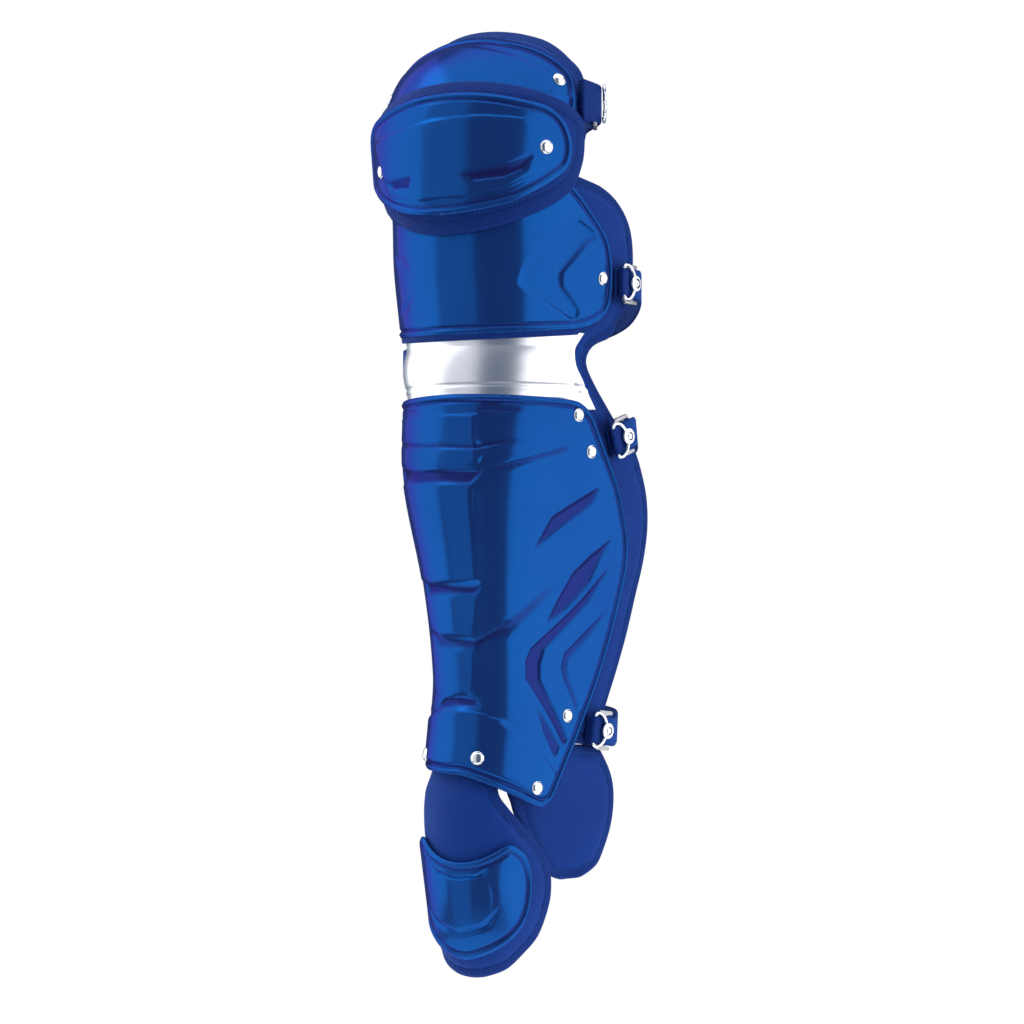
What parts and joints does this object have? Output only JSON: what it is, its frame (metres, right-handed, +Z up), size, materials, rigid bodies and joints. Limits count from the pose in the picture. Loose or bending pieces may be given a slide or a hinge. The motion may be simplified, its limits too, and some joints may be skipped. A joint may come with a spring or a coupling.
{
  "type": "catcher's leg guard",
  "caption": "Leg guard for a baseball catcher: glossy knee, shin and foot shells on padding that wraps the front of the leg, held behind by elastic straps with wire hooks.",
  "frame": {"origin": "on the leg's axis, just below the knee, at the height of the calf strap", "axes": "+Z up the leg, -Y the way the shin faces, +X the side with the hooks"},
  "size_m": [0.1825, 0.1871, 0.632],
  "materials": {
    "shell": "glossy moulded plastic in royal blue",
    "pad": "knitted cover over foam, with bound and stitched edges",
    "webbing": "woven webbing",
    "band": "satin silver on moulded plastic",
    "rivet": "polished",
    "loop": "grey pressed steel",
    "hook": "bright bent wire and plate"
  },
  "bodies": {
    "root": {"leg_pad": "pad", "shin_shell": "shell", "waist_band": "band", "upper_shell": "shell", "knee_pad": "pad", "knee_shell": "shell", "thigh_pad": "pad", "thigh_shell": "shell", "foot_pad": "pad", "foot_shell": "shell", "ankle_pad_right": "pad", "ankle_pad_left": "pad", "rivet_thigh_right": "rivet", "rivet_thigh_left": "rivet", "rivet_knee_right": "rivet", "rivet_knee_left": "rivet", "rivet_upper_right": "rivet", "rivet_upper_left": "rivet", "rivet_shin_top_right": "rivet", "rivet_shin_top_left": "rivet", "rivet_shin_side_right": "rivet", "rivet_shin_side_left": "rivet", "rivet_shin_low_right": "rivet", "rivet_shin_low_left": "rivet", "rivet_collar_right": "rivet", "rivet_collar_front": "rivet", "rivet_collar_left": "rivet", "tab_thigh": "webbing", "strap_thigh": "webbing", "loop_thigh": "loop", "hook_thigh": "hook", "tab_knee": "webbing", "strap_knee": "webbing", "loop_knee": "loop", "hook_knee": "hook", "tab_calf": "webbing", "strap_calf": "webbing", "loop_calf": "loop", "hook_calf": "hook", "tab_ankle": "webbing", "strap_ankle": "webbing", "loop_ankle": "loop", "hook_ankle": "hook"}
  },
  "joints": []
}
